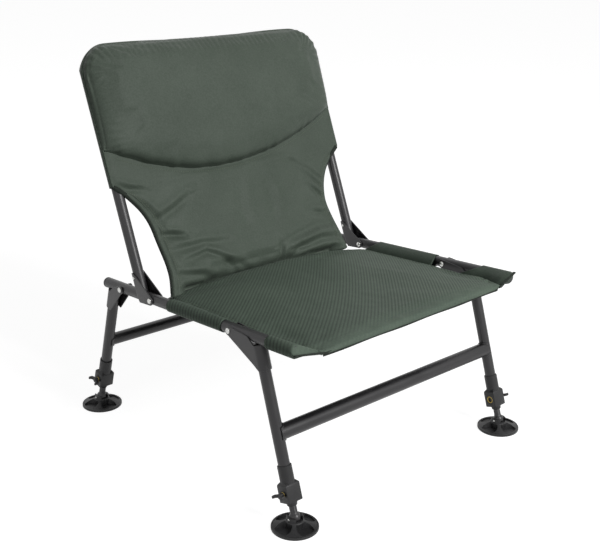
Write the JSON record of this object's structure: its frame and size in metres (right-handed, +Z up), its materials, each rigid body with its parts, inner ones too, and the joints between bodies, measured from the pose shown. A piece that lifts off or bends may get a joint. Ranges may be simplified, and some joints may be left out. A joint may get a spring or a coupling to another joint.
{
  "type": "fishing chair",
  "caption": "Low folding fishing chair: padded grey-green cloth on a black tubular frame, telescopic legs with wing screws and round swivel feet.",
  "frame": {"origin": "on the ground, under the middle of the chair's box", "axes": "+X to the right of someone who faces the chair's front, +Y towards the chair's back, +Z up; the sitter faces -Y"},
  "size_m": [0.575, 0.6414, 0.6825],
  "materials": {
    "black_steel": "semi-matt black powder coat",
    "black_plastic": "moulded, satin",
    "zinc_steel": "bright zinc plated",
    "brass": "turned",
    "ribbed_cloth": "ribbed woven polyester over wadding",
    "padded_cloth": "plain woven polyester over wadding",
    "plain_cloth": "plain woven polyester"
  },
  "bodies": {
    "seat_frame": {"seat_rail_left": "black_steel", "rail_rear_plug_left": "black_plastic", "rail_front_plug_left": "black_plastic", "seat_rail_right": "black_steel", "rail_rear_plug_right": "black_plastic", "rail_front_plug_right": "black_plastic", "rear_leg_pivot_rivet_left": "zinc_steel", "back_pivot_rivet_left": "zinc_steel", "front_leg_pivot_rivet_left": "zinc_steel", "rear_leg_pivot_rivet_right": "zinc_steel", "back_pivot_rivet_right": "zinc_steel", "front_leg_pivot_rivet_right": "zinc_steel", "seat_sleeve_rear_left": "plain_cloth", "seat_sleeve_front_left": "plain_cloth", "seat_sleeve_rear_right": "plain_cloth", "seat_sleeve_front_right": "plain_cloth", "seat_panel": "ribbed_cloth"},
    "backrest": {"back_frame_tube": "black_steel", "back_bracket_left": "black_steel", "back_fixing_rivet_left": "zinc_steel", "back_bracket_right": "black_steel", "back_fixing_rivet_right": "zinc_steel", "head_cushion": "padded_cloth", "back_cover_rear": "plain_cloth", "back_panel": "padded_cloth"},
    "front_legs": {"front_stretcher": "black_steel", "front_leg_tube_left": "black_steel", "front_leg_bracket_left": "black_steel", "front_leg_clamp_left": "black_plastic", "front_screw_insert_left": "brass", "front_leg_tube_right": "black_steel", "front_leg_bracket_right": "black_steel", "front_leg_clamp_right": "black_plastic", "front_screw_insert_right": "brass"},
    "rear_legs": {"rear_stretcher": "black_steel", "rear_leg_tube_left": "black_steel", "rear_leg_bracket_left": "black_steel", "rear_leg_clamp_left": "black_plastic", "rear_screw_insert_left": "brass", "rear_leg_tube_right": "black_steel", "rear_leg_bracket_right": "black_steel", "rear_leg_clamp_right": "black_plastic", "rear_screw_insert_right": "brass"},
    "front_thumb_screw_left": {"front_thumb_screw_left": "black_plastic"},
    "front_thumb_screw_right": {"front_thumb_screw_right": "black_plastic"},
    "rear_thumb_screw_left": {"rear_thumb_screw_left": "black_plastic"},
    "rear_thumb_screw_right": {"rear_thumb_screw_right": "black_plastic"},
    "front_lower_leg_left": {"front_lower_leg_left": "black_steel"},
    "front_lower_leg_right": {"front_lower_leg_right": "black_steel"},
    "rear_lower_leg_left": {"rear_lower_leg_left": "black_steel"},
    "rear_lower_leg_right": {"rear_lower_leg_right": "black_steel"},
    "front_foot_left": {"front_foot_left": "black_plastic", "front_foot_pin_left": "zinc_steel"},
    "front_foot_right": {"front_foot_right": "black_plastic", "front_foot_pin_right": "zinc_steel"},
    "rear_foot_left": {"rear_foot_left": "black_plastic", "rear_foot_pin_left": "zinc_steel"},
    "rear_foot_right": {"rear_foot_right": "black_plastic", "rear_foot_pin_right": "zinc_steel"}
  },
  "joints": [
    {"name": "back_fold", "type": "hinge", "parent": "seat_frame", "child": "backrest", "pos_m": [0, 0.07985, 0.27293], "axis": [1, 0, 0], "range_deg": [0, 105]},
    {"name": "front_legs_fold", "type": "hinge", "parent": "seat_frame", "child": "front_legs", "pos_m": [0, -0.13876, 0.28591], "axis": [1, 0, 0], "range_deg": [0, 100]},
    {"name": "rear_legs_fold", "type": "hinge", "parent": "seat_frame", "child": "rear_legs", "pos_m": [0, 0.17468, 0.26729], "axis": [1, 0, 0], "range_deg": [-105, 0]},
    {"name": "front_leg_extension_left", "type": "slide", "parent": "front_legs", "child": "front_lower_leg_left", "axis": [0, 0.299, 0.9542], "range_m": [-0.12, 0]},
    {"name": "front_leg_extension_right", "type": "slide", "parent": "front_legs", "child": "front_lower_leg_right", "axis": [0, 0.299, 0.9542], "range_m": [-0.12, 0]},
    {"name": "rear_leg_extension_left", "type": "slide", "parent": "rear_legs", "child": "rear_lower_leg_left", "axis": [0, 0.294, -0.9558], "range_m": [0, 0.12]},
    {"name": "rear_leg_extension_right", "type": "slide", "parent": "rear_legs", "child": "rear_lower_leg_right", "axis": [0, 0.294, -0.9558], "range_m": [0, 0.12]},
    {"name": "front_thumb_screw_left_turn", "type": "hinge", "parent": "front_legs", "child": "front_thumb_screw_left", "pos_m": [-0.25, -0.27111, 0.05665], "axis": [-1, 0, 0], "range_deg": [0, 180]},
    {"name": "front_thumb_screw_right_turn", "type": "hinge", "parent": "front_legs", "child": "front_thumb_screw_right", "pos_m": [0.25, -0.27111, 0.05665], "axis": [1, 0, 0], "range_deg": [0, 180]},
    {"name": "rear_thumb_screw_left_turn", "type": "hinge", "parent": "rear_legs", "child": "rear_thumb_screw_left", "pos_m": [-0.25, 0.26985, 0.06149], "axis": [-1, 0, 0], "range_deg": [0, 180]},
    {"name": "rear_thumb_screw_right_turn", "type": "hinge", "parent": "rear_legs", "child": "rear_thumb_screw_right", "pos_m": [0.25, 0.26985, 0.06149], "axis": [1, 0, 0], "range_deg": [0, 180]},
    {"name": "front_foot_tilt_left", "type": "hinge", "parent": "front_lower_leg_left", "child": "front_foot_left", "pos_m": [-0.25, -0.28322, 0.018], "axis": [1, 0, 0], "range_deg": [-50, 25]},
    {"name": "front_foot_tilt_right", "type": "hinge", "parent": "front_lower_leg_right", "child": "front_foot_right", "pos_m": [0.25, -0.28322, 0.018], "axis": [1, 0, 0], "range_deg": [-50, 25]},
    {"name": "rear_foot_tilt_left", "type": "hinge", "parent": "rear_lower_leg_left", "child": "rear_foot_left", "pos_m": [-0.25, 0.28322, 0.018], "axis": [1, 0, 0], "range_deg": [-25, 50]},
    {"name": "rear_foot_tilt_right", "type": "hinge", "parent": "rear_lower_leg_right", "child": "rear_foot_right", "pos_m": [0.25, 0.28322, 0.018], "axis": [1, 0, 0], "range_deg": [-25, 50]}
  ]
}
